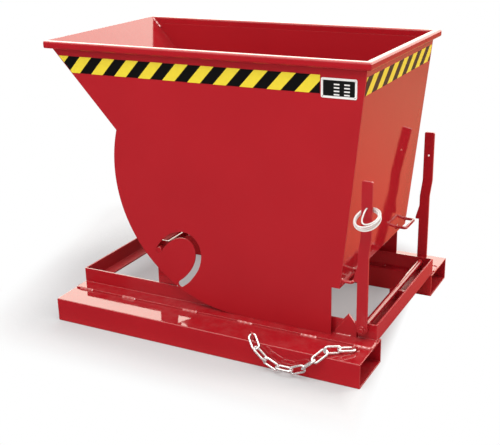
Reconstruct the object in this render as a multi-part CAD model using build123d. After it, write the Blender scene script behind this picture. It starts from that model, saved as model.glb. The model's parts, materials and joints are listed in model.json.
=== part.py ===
from build123d import *
import math
import os

os.makedirs("parts", exist_ok=True)

# Tipping hopper in millimetres. +Z is up, the hopper pours towards -X.
# Left is the -Y side. The origin is the middle of the footprint, on the ground.

# Base
base_length = 1306.0
base_width = 1070.0
pocket_width = 219.0
pocket_height = 96.0
pocket_wall = 5.0
pocket_radius = 4.0
rail_flange = 70.0
rail_upright = 65.0
rail_thickness = 6.0
rail_inset = 32.0
rail_end_gap = 6.0
front_beam_leg = 55.0
rear_beam_leg = 70.0

# Hopper
plate_thickness = 5.0
plate_rail_gap = 21.0
running_gap = 0.3
heel_from_pivot = 116.0
foot_length = 381.0
roll_radius = 535.0
floor_rise = 189.0
heel_step = 32.5
wall_height = 793.0
rear_lean = 84.5
mouth_length = 1287.0
slope_angle = 47.4
sheet = 4.0
rim_width = 30.0
rim_height = 28.0
rim_wall = 3.0
rim_radius = 8.0
rim_front_overhang = 21.0
rim_rear_lip = 2.0

# Guide bar
bar_from_roll_centre = 352.0
bar_rise = 213.0
bar_diameter = 25.0
bar_end_inset = 1.0
slot_width = 26.0
slot_land = 5.2
slot_steps = 12
bracket_thickness = 8.0
bracket_base_length = 90.0
bracket_head_length = 56.0
bracket_rise = 30.0
fixed_gap = 0.1

# Release levers and their shaft
pivot_from_rear = 53.0
pivot_rise = 39.0
lever_width = 40.0
lever_thickness = 10.0
lever_gap = 10.0
lever_length = 562.0
bend_from_pivot = 289.0
bend_length = 70.0
bend_shift = 9.0
lever_top_radius = 6.0
nose_height = 60.0
nose_face = 10.0
nose_gap = 1.0
nose_lift = 2.5
rope_hole = 8.0
rope_hole_from_pivot = 465.0
shaft_diameter = 25.0
spigot_diameter = 16.0
bolt_diameter = 10.0
bolt_depth = 18.0
bolt_head_width = 17.0
bolt_head_height = 6.5
washer_diameter = 32.0
washer_thickness = 2.5
collar_diameter = 40.0
bearing_y = 25.0
bearing_thickness = 10.0
bearing_rim = 14.0

# Striker loops on the rear wall
loop_bar = 12.0
loop_rise = 27.0
loop_width = 112.0
loop_past_lever = 4.0
loop_corner = 10.0
loop_from_pivot = 35.0

# Locating wedge behind the hopper's left heel
wedge_gap = 8.0
wedge_length = 86.0
wedge_nose_run = 5.0
wedge_nose = 28.0
wedge_peak_run = 53.0
wedge_height = 88.0
wedge_tail = 48.0
wedge_thickness = 9.0
wedge_lead = 7.0

# Safety chain
chain_wire = 8.0
chain_link_length = 70.0
chain_link_width = 34.0
chain_gap = 0.8
chain_hang_links = 5
chain_hang_slope = 0.45
chain_top_dip = 7.0
chain_from_rear = 278.0
chain_seat = 0.3
eye_bar = 8.0
eye_span = 16.0
eye_clearance = 1.5

# Release rope
rope_diameter = 6.0
rope_gap = 0.8
rope_turns = 1.5
rope_inner_radius = 38.0
rope_from_lever = 10.0
rope_out = 9.0
rope_drop = 31.0
rope_tilt = 31.0
rope_start = -110.0
rope_steps_per_turn = 4

# Tape and type plate
tape_height = 63.0
tape_drop = 27.5
tape_thickness = 0.6
tape_margin = 4.0
type_plate_length = 129.0
type_plate_height = 68.0
type_plate_drop = 35.0
type_plate_inset = 22.0
type_plate_thickness = 1.5
rivet_diameter = 6.0
rivet_head = 1.5
rivet_inset = 7.0

# How far a cutting tool runs past the piece
cut_over = 1.0

# Lengths along X are set off from the rear end of the base
rim_front_from_pivot = heel_from_pivot - heel_step - rear_lean + mouth_length + rim_front_overhang
overall_length = rail_end_gap + pivot_from_rear + rim_front_from_pivot
base_rear_x = overall_length / 2
base_front_x = base_rear_x - base_length
pocket_outer_y = base_width / 2
pocket_inner_y = pocket_outer_y - pocket_width
pocket_y = (pocket_outer_y + pocket_inner_y) / 2
rail_y = pocket_inner_y + rail_inset
rail_inner_y = rail_y - rail_thickness
rail_front_x = base_front_x + rail_end_gap
rail_rear_x = base_rear_x - rail_end_gap
track_z = pocket_height + rail_thickness
rail_top = pocket_height + rail_upright
plate_inner_y = rail_y + plate_rail_gap
plate_outer_y = plate_inner_y + plate_thickness
lever_y = rail_y + lever_gap
lever_outer_y = lever_y + lever_thickness
loop_outer_y = lever_y + loop_past_lever
loop_inner_y = loop_outer_y - loop_width
pivot_x = rail_rear_x - pivot_from_rear
heel_x = pivot_x - heel_from_pivot
rear_floor_x = heel_x + heel_step
rear_top_x = rear_floor_x + rear_lean
lip_x = rear_top_x - mouth_length
roll_centre_x = heel_x - foot_length
bar_x = roll_centre_x - bar_from_roll_centre

# Heights are set off from the track that the hopper rolls on
roll_centre_z = track_z + roll_radius
floor_height = track_z + floor_rise
wall_top = floor_height + wall_height
bar_z = track_z + bar_rise
pivot_height = track_z + pivot_rise
lever_top = pivot_height + lever_length
bend_low = pivot_height + bend_from_pivot
bend_high = bend_low + bend_length
rope_hole_height = pivot_height + rope_hole_from_pivot
loop_height = floor_height + loop_rise

sides = (("left", -1), ("right", 1))


def save(name, shape):
    export_step(shape, f"parts/{name}.step")


def polygon(*points):
    return make_face(Polyline(*points, close=True))


def slab(outline, inner, thickness, sign):
    # An outline in X and Z, standing from |y| = inner outwards on one side.
    solid = extrude(Plane.XZ * outline, amount=thickness / 2, both=True)
    return Pos(0, sign * (inner + thickness / 2), 0) * solid


def across(outline, half_width):
    return extrude(Plane.XZ * outline, amount=half_width, both=True)


def rod(diameter, x, z, y_from, y_to):
    solid = Cylinder(diameter / 2, abs(y_to - y_from), rotation=(90, 0, 0))
    return Pos(x, (y_from + y_to) / 2, z) * solid


def slope_x(z):
    return lip_x + (wall_top - z) / math.tan(math.radians(slope_angle))


def rear_x(z):
    share = (z - floor_height) / (wall_top - floor_height)
    return rear_floor_x + share * (rear_top_x - rear_floor_x)


# Base frame
pocket_section = RectangleRounded(pocket_width, pocket_height, pocket_radius)
pocket_section -= Rectangle(pocket_width - 2 * pocket_wall, pocket_height - 2 * pocket_wall)
pocket = extrude(Plane.YZ * pocket_section, amount=base_length / 2, both=True)
pocket_x = (base_front_x + base_rear_x) / 2

rail_hole = shaft_diameter + 2 * running_gap
rail_length = rail_rear_x - rail_front_x
for side, sign in sides:
    save(f"fork_pocket_{side}", Pos(pocket_x, sign * pocket_y, pocket_height / 2) * pocket)
    rail_section = polygon(
        (sign * rail_inner_y, pocket_height),
        (sign * (rail_inner_y + rail_flange), pocket_height),
        (sign * (rail_inner_y + rail_flange), track_z),
        (sign * rail_y, track_z),
        (sign * rail_y, rail_top),
        (sign * rail_inner_y, rail_top),
    )
    rail = Pos(rail_front_x, 0, 0) * extrude(Plane.YZ * rail_section, amount=rail_length)
    rail -= rod(rail_hole, pivot_x, pivot_height, sign * (rail_inner_y - cut_over),
                sign * (rail_y + cut_over))
    save(f"side_rail_{side}", rail)


def beam(outer_x, inwards, leg):
    outline = polygon(
        (outer_x, pocket_height),
        (outer_x + inwards * leg, pocket_height),
        (outer_x + inwards * leg, track_z),
        (outer_x + inwards * rail_thickness, track_z),
        (outer_x + inwards * rail_thickness, rail_top),
        (outer_x, rail_top),
    )
    return across(outline, rail_inner_y)


save("front_beam", beam(rail_front_x, 1, front_beam_leg))
save("rear_beam", beam(rail_rear_x, -1, rear_beam_leg))

# Guide bar and its brackets
save("guide_bar", rod(bar_diameter, bar_x, bar_z, -plate_outer_y + bar_end_inset,
                      plate_outer_y - bar_end_inset))
bracket_front = bar_x - bracket_head_length / 2
bracket_outline = polygon(
    (bracket_front, pocket_height),
    (bracket_front + bracket_base_length, pocket_height),
    (bracket_front + bracket_head_length, bar_z + bracket_rise),
    (bracket_front, bar_z + bracket_rise),
)
bracket_outline -= Pos(bar_x, bar_z) * Circle(bar_diameter / 2 + fixed_gap)
for side, sign in sides:
    bracket = slab(bracket_outline, rail_inner_y - bracket_thickness, bracket_thickness, sign)
    save(f"guide_bar_bracket_{side}", bracket)

# Locating wedge, with a lead-in along the outer side of its rising edge
wedge_x = heel_x + wedge_gap
wedge_outline = polygon(
    (wedge_x, track_z),
    (wedge_x + wedge_length, track_z),
    (wedge_x + wedge_length, track_z + wedge_tail),
    (wedge_x + wedge_peak_run, track_z + wedge_height),
    (wedge_x + wedge_nose_run, track_z + wedge_nose),
)
wedge = slab(wedge_outline, rail_y, wedge_thickness, -1)
wedge_rise = (
    wedge_x + (wedge_nose_run + wedge_peak_run) / 2,
    -rail_y - wedge_thickness,
    track_z + (wedge_nose + wedge_height) / 2,
)
save("locating_wedge", chamfer(wedge.edges().sort_by_distance(wedge_rise)[0], wedge_lead))

# Bearing lug in the middle of the shaft, open at the top
bearing_radius = shaft_diameter / 2 + bearing_rim
bearing_outline = polygon(
    (pivot_x - bearing_radius, track_z),
    (rail_rear_x - rail_thickness, track_z),
    (rail_rear_x - rail_thickness, pivot_height),
    (pivot_x - bearing_radius, pivot_height),
)
bearing_outline -= Pos(pivot_x, pivot_height) * Circle(rail_hole / 2)
bearing_inner = bearing_y - bearing_thickness / 2
bearing = slab(bearing_outline, bearing_inner, bearing_thickness, 1)
save("shaft_bearing", bearing)

# Side plates: straight slope, rolling arc, flat foot and sloping rear edge
plate_bottom = track_z + running_gap
slope = math.radians(slope_angle)
slope_dir = Vector(math.cos(slope), -math.sin(slope))
to_lip = Vector(lip_x - roll_centre_x, wall_top - roll_centre_z)
along = to_lip.dot(slope_dir)
reach = -along - math.sqrt(along**2 - to_lip.length**2 + roll_radius**2)
arc_start = Vector(lip_x, wall_top) + slope_dir * reach
arc_radius = roll_centre_z - plate_bottom
start_angle = math.atan2(arc_start.Y - roll_centre_z, arc_start.X - roll_centre_x)
if start_angle < 0:
    start_angle += 2 * math.pi
arc_angle = (start_angle + 1.5 * math.pi) / 2
arc_middle = (
    roll_centre_x + arc_radius * math.cos(arc_angle),
    roll_centre_z + arc_radius * math.sin(arc_angle),
)
arc_end = (roll_centre_x, plate_bottom)
plate_edge = Line((lip_x, wall_top), (arc_start.X, arc_start.Y))
plate_edge += ThreePointArc((arc_start.X, arc_start.Y), arc_middle, arc_end)
plate_edge += Polyline(
    arc_end,
    (heel_x, plate_bottom),
    (heel_x, floor_height),
    (rear_floor_x, floor_height),
    (rear_top_x, wall_top),
    (lip_x, wall_top),
)
plate_outline = make_face(plate_edge)


def slot_point(angle, offset):
    # The bar's path in the rolling plate, moved sideways by the offset.
    along = bar_x - roll_centre_x + roll_radius * angle
    down = bar_z - roll_centre_z
    point = Vector(
        roll_centre_x + along * math.cos(angle) + down * math.sin(angle),
        roll_centre_z - along * math.sin(angle) + down * math.cos(angle),
    )
    speed_x = (roll_radius + down) * math.cos(angle) - along * math.sin(angle)
    speed_z = -(roll_radius + down) * math.sin(angle) - along * math.cos(angle)
    speed = math.hypot(speed_x, speed_z)
    return point + Vector(-speed_z, speed_x) * (offset / speed), Vector(speed_x, speed_z) / speed


# The slot ends where it leaves a land of metal at the rolling edge.
half_slot = slot_width / 2
slot_end_radius = roll_radius - half_slot - slot_land
slot_end_along = math.sqrt(slot_end_radius**2 - (roll_centre_z - bar_z) ** 2)
slot_roll = (bar_from_roll_centre + slot_end_along) / roll_radius
slot_angles = [slot_roll * step / slot_steps for step in range(slot_steps + 1)]
slot_one = [slot_point(angle, half_slot)[0] for angle in slot_angles]
slot_two = [slot_point(angle, -half_slot)[0] for angle in slot_angles]
first, first_dir = slot_point(slot_angles[0], 0)
last, last_dir = slot_point(slot_angles[-1], 0)
slot_edge = Spline(*slot_one, tangents=(first_dir, last_dir))
slot_edge += ThreePointArc(slot_one[-1], last + last_dir * half_slot, slot_two[-1])
slot_edge += Spline(*reversed(slot_two), tangents=(-last_dir, -first_dir))
slot_edge += ThreePointArc(slot_two[0], first - first_dir * half_slot, slot_one[0])
plate_outline -= make_face(slot_edge)
for side, sign in sides:
    save(f"side_plate_{side}", slab(plate_outline, plate_inner_y, plate_thickness, sign))

# Container sheets between the side plates, mitred where they meet
floor_top = floor_height + sheet
slope_step = sheet / math.sin(slope)
rear_slant = math.atan2(rear_top_x - rear_floor_x, wall_top - floor_height)
rear_step = sheet / math.cos(rear_slant)
rim_top = wall_top + rim_height
rim_front_x = lip_x - rim_front_overhang
lip_height = wall_top + rim_front_overhang * math.tan(slope)
front_outline = polygon(
    (rim_front_x, lip_height),
    (slope_x(floor_height), floor_height),
    (slope_x(floor_top) + slope_step, floor_top),
    (slope_x(rim_top) + slope_step, rim_top),
    (rim_front_x, rim_top),
)
floor_outline = polygon(
    (slope_x(floor_height), floor_height),
    (rear_floor_x, floor_height),
    (rear_x(floor_top) - rear_step, floor_top),
    (slope_x(floor_top) + slope_step, floor_top),
)
rear_outline = polygon(
    (rear_floor_x, floor_height),
    (rear_top_x, wall_top),
    (rear_top_x - rear_step, wall_top),
    (rear_x(floor_top) - rear_step, floor_top),
)
save("front_sheet", across(front_outline, plate_inner_y))
save("floor_sheet", across(floor_outline, plate_inner_y))
save("rear_wall", across(rear_outline, plate_inner_y))

# Rim: tubes on the walls' top edges, square where they meet the walls inside and mitred at the
# rear. At the front they are capped, and the sheet runs up to its edge over a folded bar.
rim_outside = RectangleRounded(rim_width, rim_height, rim_radius)
rim_outside += Pos((rim_width - rim_radius) / 2, (rim_radius - rim_height) / 2) * Rectangle(
    rim_radius, rim_radius
)
rim_section = rim_outside - RectangleRounded(
    rim_width - 2 * rim_wall, rim_height - 2 * rim_wall, rim_radius - rim_wall
)
rim_z = wall_top + rim_height / 2
rim_rear_x = rear_top_x - rear_step - rim_rear_lip + rim_width
rim_outer_y = plate_inner_y + rim_width
rim_x = (rim_front_x + rim_rear_x) / 2


def rim_rail(length, mitred_ends):
    # Runs along X with its outer side towards -Y.
    rail = extrude(Plane.YZ * rim_section, amount=length / 2, both=True)
    for end in mitred_ends:
        corner = (end * length / 2, -rim_width / 2, 0)
        rail = split(rail, bisect_by=Plane(corner, z_dir=(end, 1, 0)), keep=Keep.BOTTOM)
    return rail


long_length = rim_rear_x - rim_front_x
long_rail = rim_rail(long_length, (1,))
long_rail += Pos(-long_length / 2, 0, 0) * extrude(Plane.YZ * rim_outside, amount=rim_wall)
rim_left = Pos(rim_x, rim_width / 2 - rim_outer_y, rim_z) * long_rail
save("rim_left", rim_left)
save("rim_right", mirror(rim_left, about=Plane.XZ))
rear_rail = rim_rail(2 * rim_outer_y, (-1, 1))
save("rim_rear", Pos(rim_rear_x - rim_width / 2, 0, rim_z) * Rot(0, 0, 90) * rear_rail)
lip_outline = polygon((rim_front_x, wall_top), (lip_x, wall_top), (rim_front_x, lip_height))
save("rim_front", across(lip_outline, plate_inner_y))

# Striker loops: bent round bar, its legs cut flush with the rear wall
loop_reach = pivot_x - loop_from_pivot
loop_bar_x = loop_reach - loop_bar / 2
rear_cut = polygon(
    (rear_floor_x, floor_height),
    (rear_top_x, wall_top),
    (rear_floor_x - rear_top_x, wall_top),
    (rear_floor_x - rear_top_x, floor_height),
)
for side, sign in sides:
    loop_path = FilletPolyline(
        (rear_floor_x, sign * loop_inner_y, loop_height),
        (loop_bar_x, sign * loop_inner_y, loop_height),
        (loop_bar_x, sign * loop_outer_y, loop_height),
        (rear_floor_x, sign * loop_outer_y, loop_height),
        radius=loop_corner,
    )
    loop_start = Plane((rear_floor_x, sign * loop_inner_y, loop_height), z_dir=(1, 0, 0))
    loop = sweep(loop_start * Circle(loop_bar / 2), path=loop_path)
    save(f"striker_loop_{side}", loop - across(rear_cut, plate_outer_y))

# Release levers
lever_low_front = pivot_x - lever_width / 2
lever_low_rear = pivot_x + lever_width / 2
nose_bottom = loop_height + loop_bar / 2 + nose_lift
nose_tip = loop_reach + nose_gap
lever_outline = polygon(
    (lever_low_front, pivot_height),
    (lever_low_rear, pivot_height),
    (lever_low_rear, bend_low),
    (lever_low_rear + bend_shift, bend_high),
    (lever_low_rear + bend_shift, lever_top),
    (lever_low_front + bend_shift, lever_top),
    (lever_low_front + bend_shift, bend_high),
    (lever_low_front, bend_low),
    (lever_low_front, nose_bottom + nose_height),
    (nose_tip, nose_bottom + nose_face),
    (nose_tip, nose_bottom),
    (lever_low_front, nose_bottom),
)
top_corners = lever_outline.vertices().sort_by(Axis.Y)[-2:]
lever_outline = fillet(top_corners, lever_top_radius)
lever_outline += Pos(pivot_x, pivot_height) * Circle(lever_width / 2)
lever_outline -= Pos(pivot_x, pivot_height) * Circle(spigot_diameter / 2 + fixed_gap)
lever_outline -= Pos(pivot_x + bend_shift, rope_hole_height) * Circle(rope_hole / 2)
for side, sign in sides:
    save(f"release_lever_{side}", slab(lever_outline, lever_y, lever_thickness, sign))

# Cross shaft with a spigot, a collar and a bolt at each end
shaft = rod(shaft_diameter, pivot_x, pivot_height, -lever_y, lever_y)
shaft += rod(spigot_diameter, pivot_x, pivot_height, -lever_outer_y, lever_outer_y)
bolt_hole = bolt_diameter + 2 * fixed_gap
for side, sign in sides:
    hole_end = lever_outer_y - bolt_depth - cut_over
    shaft -= rod(bolt_hole, pivot_x, pivot_height, sign * hole_end,
                 sign * (lever_outer_y + cut_over))
    collar_from = sign * (rail_y + running_gap)
    collar_to = sign * (lever_y - fixed_gap)
    collar = rod(collar_diameter, pivot_x, pivot_height, collar_from, collar_to)
    collar -= rod(shaft_diameter + 2 * fixed_gap, pivot_x, pivot_height, collar_from, collar_to)
    save(f"shaft_collar_{side}", collar)
    washer_end = lever_outer_y + washer_thickness
    washer = rod(washer_diameter, pivot_x, pivot_height, sign * lever_outer_y, sign * washer_end)
    washer -= rod(bolt_hole, pivot_x, pivot_height, sign * lever_outer_y, sign * washer_end)
    save(f"lever_washer_{side}", washer)
    head_outline = RegularPolygon(bolt_head_width / 2, 6, major_radius=False)
    bolt = slab(Pos(pivot_x, pivot_height) * head_outline, washer_end, bolt_head_height, sign)
    bolt_end = lever_outer_y - bolt_depth
    bolt += rod(bolt_diameter, pivot_x, pivot_height, sign * bolt_end, sign * washer_end)
    save(f"lever_bolt_{side}", bolt)
save("cross_shaft", shaft)

# Safety chain: over the left pocket's edge, hanging outside, and back onto the top
link_radius = (chain_link_width - chain_wire) / 2
link_half = (chain_link_length - chain_link_width) / 2
link_edge = Line((-link_half, link_radius), (link_half, link_radius))
link_edge += ThreePointArc(
    (link_half, link_radius), (link_half + link_radius, 0), (link_half, -link_radius)
)
link_edge += Line((link_half, -link_radius), (-link_half, -link_radius))
link_edge += ThreePointArc(
    (-link_half, -link_radius), (-link_half - link_radius, 0), (-link_half, link_radius)
)
link_start = Plane((-link_half, link_radius, 0), z_dir=(1, 0, 0))
link = sweep(link_start * Circle(chain_wire / 2), path=link_edge)

# Flat and standing links take turns. Each joint turns about the end of the link it bends in.
near_half = link_half
far_half = (chain_link_length - chain_wire) / 2 + link_radius - chain_wire - chain_gap
hang_slopes = [
    chain_hang_slope * (number - (chain_hang_links - 1) / 2) for number in range(chain_hang_links)
]
hang_runs = [Vector(1, 0, slope_now).normalized() for slope_now in hang_slopes]
fall = hang_runs[0]
over_edge = Vector(fall.X, fall.Z, fall.Z).normalized()
top_rise = math.hypot(over_edge.X, over_edge.Y) * math.tan(math.radians(chain_top_dip))
on_top = Vector(over_edge.X, over_edge.Y, top_rise).normalized()
end_runs = [Vector(run.X, -run.Y, -run.Z) for run in (over_edge, on_top, on_top)]
runs = [over_edge] + hang_runs + end_runs
up = Vector(0, 0, 1)
out = Vector(0, -1, 0)
seats = [up + out] + [out] * chain_hang_links + [up + out, up, up]
last_edge = chain_hang_links + 1


def half_link(number, joint):
    edge_joint = joint == 0 or joint >= last_edge - 1
    standing = number % 2 == 1
    return near_half if standing == edge_joint else far_half


middles = [Vector(0, 0, 0)]
for number in range(1, len(runs)):
    joint = middles[-1] + runs[number - 1] * half_link(number - 1, number - 1)
    middles.append(joint + runs[number] * half_link(number, number - 1))
edge_offset = (chain_wire / 2 + chain_seat) / math.sqrt(2)
edge_middle = middles[0]
shift = Vector(
    base_rear_x - chain_from_rear - middles[last_edge].X / 2,
    -pocket_outer_y - edge_offset - edge_middle.Y,
    pocket_height + edge_offset - edge_middle.Z,
)
middles = [middle + shift for middle in middles]
links = []
for number, (middle, run, seat) in enumerate(zip(middles, runs, seats)):
    normal = (seat - run * seat.dot(run)).normalized()
    if number % 2:
        normal = run.cross(normal)
    links.append(Plane(middle, x_dir=run, z_dir=normal) * link)
save("safety_chain", Compound(children=links))

# Chain eyes welded on the pocket's top
wire_middle = (chain_link_length - chain_wire) / 2
for name, middle, run in (("front", middles[0], -runs[0]), ("rear", middles[-1], runs[-1])):
    held = middle + run * wire_middle
    along = Vector(run.X, run.Y, 0).normalized()
    eye_radius = (eye_span + eye_bar) / 2
    eye_leg = held.Z - pocket_height + chain_wire / 2 + eye_clearance - eye_span / 2
    eye_edge = Line((-eye_radius, 0), (-eye_radius, eye_leg))
    eye_edge += ThreePointArc(
        (-eye_radius, eye_leg), (0, eye_leg + eye_radius), (eye_radius, eye_leg)
    )
    eye_edge += Line((eye_radius, eye_leg), (eye_radius, 0))
    eye_start = Plane((-eye_radius, 0, 0), z_dir=(0, 1, 0))
    eye = sweep(eye_start * Circle(eye_bar / 2), path=eye_edge)
    foot = Vector(held.X, held.Y, pocket_height)
    save(f"chain_eye_{name}", Plane(foot, x_dir=along, z_dir=along.cross(up)) * eye)

# Release rope: one unbroken cord from the left lever's hole into a tilted coil
hole_x = pivot_x + bend_shift
rope_centre = Vector(
    hole_x + rope_from_lever, -lever_outer_y - rope_out, rope_hole_height - rope_drop
)
rope_normal = (0, -math.sin(math.radians(rope_tilt)), math.cos(math.radians(rope_tilt)))
rope_plane = Plane(rope_centre, x_dir=(1, 0, 0), z_dir=rope_normal)
rope_step = rope_diameter + rope_gap


def rope_point(turns):
    # Out over the upper layer, down a layer in half a turn, in over the lower one.
    if turns < rope_turns:
        out = turns
        level = 0
    elif turns < rope_turns + 0.5:
        swing = 2 * math.pi * (turns - rope_turns)
        out = rope_turns + math.sin(swing) / (2 * math.pi)
        level = (1 - math.cos(swing)) / 2
    else:
        out = 2 * rope_turns + 0.5 - turns
        level = 1
    radius = rope_inner_radius + rope_step * out
    angle = math.radians(rope_start) + 2 * math.pi * turns
    local = (radius * math.cos(angle), radius * math.sin(angle), -rope_step * level)
    return rope_plane.from_local_coords(Vector(*local))


def biarc(start, start_dir, end, end_dir):
    gap = end - start
    both = start_dir + end_dir
    bend = 2 * (1 - start_dir.dot(end_dir))
    reach = math.sqrt(gap.dot(both) ** 2 + bend * gap.dot(gap)) - gap.dot(both)
    reach /= bend
    knee = start + start_dir * reach
    heel = end - end_dir * reach
    meeting = (knee + heel) * 0.5
    first_arc = TangentArc(start, meeting, tangent=start_dir)
    second_arc = TangentArc(meeting, end, tangent=heel - knee)
    return [first_arc, second_arc]


total_turns = 2 * rope_turns + 0.5
step_count = int(total_turns * rope_steps_per_turn)
stations = [number / rope_steps_per_turn for number in range(step_count + 1)]
points = [rope_point(turns) for turns in stations]
tiny = 0.001
dirs = [
    (rope_point(turns + tiny) - rope_point(turns - tiny)).normalized() for turns in stations
]
knot_ring = rope_diameter / 2
rope_tail = Vector(hole_x, -lever_y + 3 * knot_ring, rope_hole_height)
rope_exit = Vector(hole_x, -lever_outer_y - rope_diameter, rope_hole_height)
rope_edges = [Line(rope_tail, rope_exit)]
rope_edges += biarc(rope_exit, Vector(0, -1, 0), points[0], dirs[0])
for number in range(len(points) - 1):
    rope_edges += biarc(points[number], dirs[number], points[number + 1], dirs[number + 1])
rope_edges.append(Line(points[-1], points[-1] + dirs[-1] * rope_diameter))
rope_path = Wire([edge.edge() for edge in rope_edges])
rope_section = Plane(rope_tail, z_dir=(0, -1, 0)) * Circle(rope_diameter / 2)
save("release_rope", sweep(rope_section, path=rope_path))
knot = Torus(rope_diameter + fixed_gap, knot_ring, rotation=(90, 0, 0))
save("rope_knot", Pos(hole_x, -lever_y + knot_ring + fixed_gap, rope_hole_height) * knot)

trace = []
for edge in rope_path.edges():
    count = max(2, int(edge.length / 2))
    trace += [edge.position_at(number / count) for number in range(count)]
skip = int(math.pi * rope_diameter)
least = min(
    (trace[one] - trace[two]).length
    for one in range(len(trace))
    for two in range(one + skip, len(trace))
)
print(f"rope: least gap between turns {least - rope_diameter:.2f} mm")

# Hazard tapes and a blank type plate
tape_top = wall_top - tape_drop
tape_bottom = tape_top - tape_height
type_plate_bottom = wall_top - type_plate_drop - type_plate_height
type_plate_rear = rear_x(type_plate_bottom) - type_plate_inset
plate_tape_end = {"left": type_plate_rear - type_plate_length - tape_margin,
                  "right": rear_x(tape_bottom) - tape_margin}
for side, sign in sides:
    tape_outline = polygon(
        (slope_x(tape_bottom) + tape_margin, tape_bottom),
        (plate_tape_end[side], tape_bottom),
        (plate_tape_end[side], tape_top),
        (slope_x(tape_top) + tape_margin, tape_top),
    )
    save(f"hazard_tape_{side}", slab(tape_outline, plate_outer_y, tape_thickness, sign))
tape_step = tape_thickness / math.cos(rear_slant)
rear_tape = polygon(
    (rear_x(tape_bottom), tape_bottom),
    (rear_x(tape_bottom) + tape_step, tape_bottom),
    (rear_x(tape_top) + tape_step, tape_top),
    (rear_x(tape_top), tape_top),
)
save("hazard_tape_rear", across(rear_tape, plate_inner_y - tape_margin))

type_x = type_plate_rear - type_plate_length / 2
type_z = type_plate_bottom + type_plate_height / 2
type_outline = Pos(type_x, type_z) * RectangleRounded(
    type_plate_length, type_plate_height, rivet_diameter
)
save("type_plate", slab(type_outline, plate_outer_y, type_plate_thickness, -1))
rivets = []
rivet_y = plate_outer_y + type_plate_thickness
for end_x in (-1, 1):
    for end_z in (-1, 1):
        x = type_x + end_x * (type_plate_length / 2 - rivet_inset)
        z = type_z + end_z * (type_plate_height / 2 - rivet_inset)
        rivets.append(rod(rivet_diameter, x, z, -rivet_y, -rivet_y - rivet_head))
save("type_plate_rivets", Compound(children=rivets))
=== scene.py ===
import bmesh
import bpy
import json
import math
import numpy as np
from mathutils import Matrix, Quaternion, Vector


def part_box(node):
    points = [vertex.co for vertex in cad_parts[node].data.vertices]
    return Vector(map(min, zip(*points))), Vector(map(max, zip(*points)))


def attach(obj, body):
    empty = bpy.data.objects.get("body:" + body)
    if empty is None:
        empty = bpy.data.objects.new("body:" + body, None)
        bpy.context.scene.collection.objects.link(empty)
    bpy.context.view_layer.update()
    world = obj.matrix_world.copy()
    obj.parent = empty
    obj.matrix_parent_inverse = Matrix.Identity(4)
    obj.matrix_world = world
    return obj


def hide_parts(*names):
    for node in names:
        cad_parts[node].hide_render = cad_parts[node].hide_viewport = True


# Tipping hopper, in metres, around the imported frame: +Z is up and the hopper pours towards -X
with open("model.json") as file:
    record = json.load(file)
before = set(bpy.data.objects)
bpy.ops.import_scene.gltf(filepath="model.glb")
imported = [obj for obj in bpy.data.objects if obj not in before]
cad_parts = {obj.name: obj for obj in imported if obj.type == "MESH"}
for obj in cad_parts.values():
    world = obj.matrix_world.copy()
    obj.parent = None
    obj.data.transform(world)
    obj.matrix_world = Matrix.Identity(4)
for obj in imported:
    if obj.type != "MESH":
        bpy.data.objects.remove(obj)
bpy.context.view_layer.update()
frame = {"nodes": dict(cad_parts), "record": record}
nodes = frame["nodes"]
up = np.array((0.0, 0.0, 1.0))
rearward = np.array((1.0, 0.0, 0.0))
rightward = np.array((0.0, 1.0, 0.0))
print("frame loaded:", len(nodes), "nodes")


# A node's box as its low and its high corner
def corners(node):
    low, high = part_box(node)
    return np.array(low), np.array(high)


# A node's inner and outer face across the part, on the side that the sign gives
def facesAcross(node, sign):
    low, high = corners(node)
    inner, outer = sorted((abs(low[1]), abs(high[1])))
    return sign * inner, sign * outer


# Camera
cameraView = {
    "place": (1.6330, -3.1504, 1.6299),
    "azimuth": 27.559,     # degrees from +Y towards -X
    "elevation": 19.980,   # degrees that it looks down
    "roll": -1.208,        # degrees about its line of sight
    "lens": 65.216,        # mm
    "sensor": 36.0,        # mm
}


def makeCamera(view):
    data = bpy.data.cameras.new("camera")
    data.sensor_fit = "HORIZONTAL"
    data.sensor_width = view["sensor"]
    data.lens = view["lens"]
    camera = bpy.data.objects.new("camera", data)
    bpy.context.scene.collection.objects.link(camera)
    a = math.radians(view["azimuth"])
    e = math.radians(view["elevation"])
    ahead = Vector((-math.sin(a) * math.cos(e), math.cos(a) * math.cos(e), -math.sin(e)))
    turn = ahead.to_track_quat("-Z", "Y") @ Quaternion((0, 0, 1), math.radians(view["roll"]))
    camera.location = view["place"]
    camera.rotation_mode = "QUATERNION"
    camera.rotation_quaternion = turn
    bpy.context.scene.camera = camera


makeCamera(cameraView)
print("camera set")


# Shader helpers: a socket takes a link where it is given an output, and otherwise a plain value
def setSockets(tree, node, values):
    for name, value in values.items():
        socket = node.inputs[name]
        if isinstance(value, bpy.types.NodeSocket):
            tree.links.new(value, socket)
        else:
            socket.default_value = value


def addNode(tree, kind, values=None, **settings):
    node = tree.nodes.new(kind)
    for name, value in settings.items():
        setattr(node, name, value)
    setSockets(tree, node, values or {})
    return node


def mathNode(tree, operation, first, second=0.0):
    return addNode(tree, "ShaderNodeMath", {0: first, 1: second}, operation=operation).outputs[0]


def vectorNode(tree, operation, first, second=(0.0, 0.0, 0.0), result="Vector"):
    node = addNode(tree, "ShaderNodeVectorMath", {0: first, 1: second}, operation=operation)
    return node.outputs[result]


def splitNode(tree, vector):
    return addNode(tree, "ShaderNodeSeparateXYZ", {0: vector}).outputs


def mapRange(tree, value, fromMin, fromMax, toMin=0.0, toMax=1.0, ease="LINEAR"):
    values = {"Value": value, "From Min": fromMin, "From Max": fromMax, "To Min": toMin, "To Max": toMax}
    return addNode(tree, "ShaderNodeMapRange", values, interpolation_type=ease).outputs["Result"]


def mixColour(tree, factor, first, second):
    return addNode(tree, "ShaderNodeMix", {0: factor, 6: first, 7: second}, data_type="RGBA").outputs[2]


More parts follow.
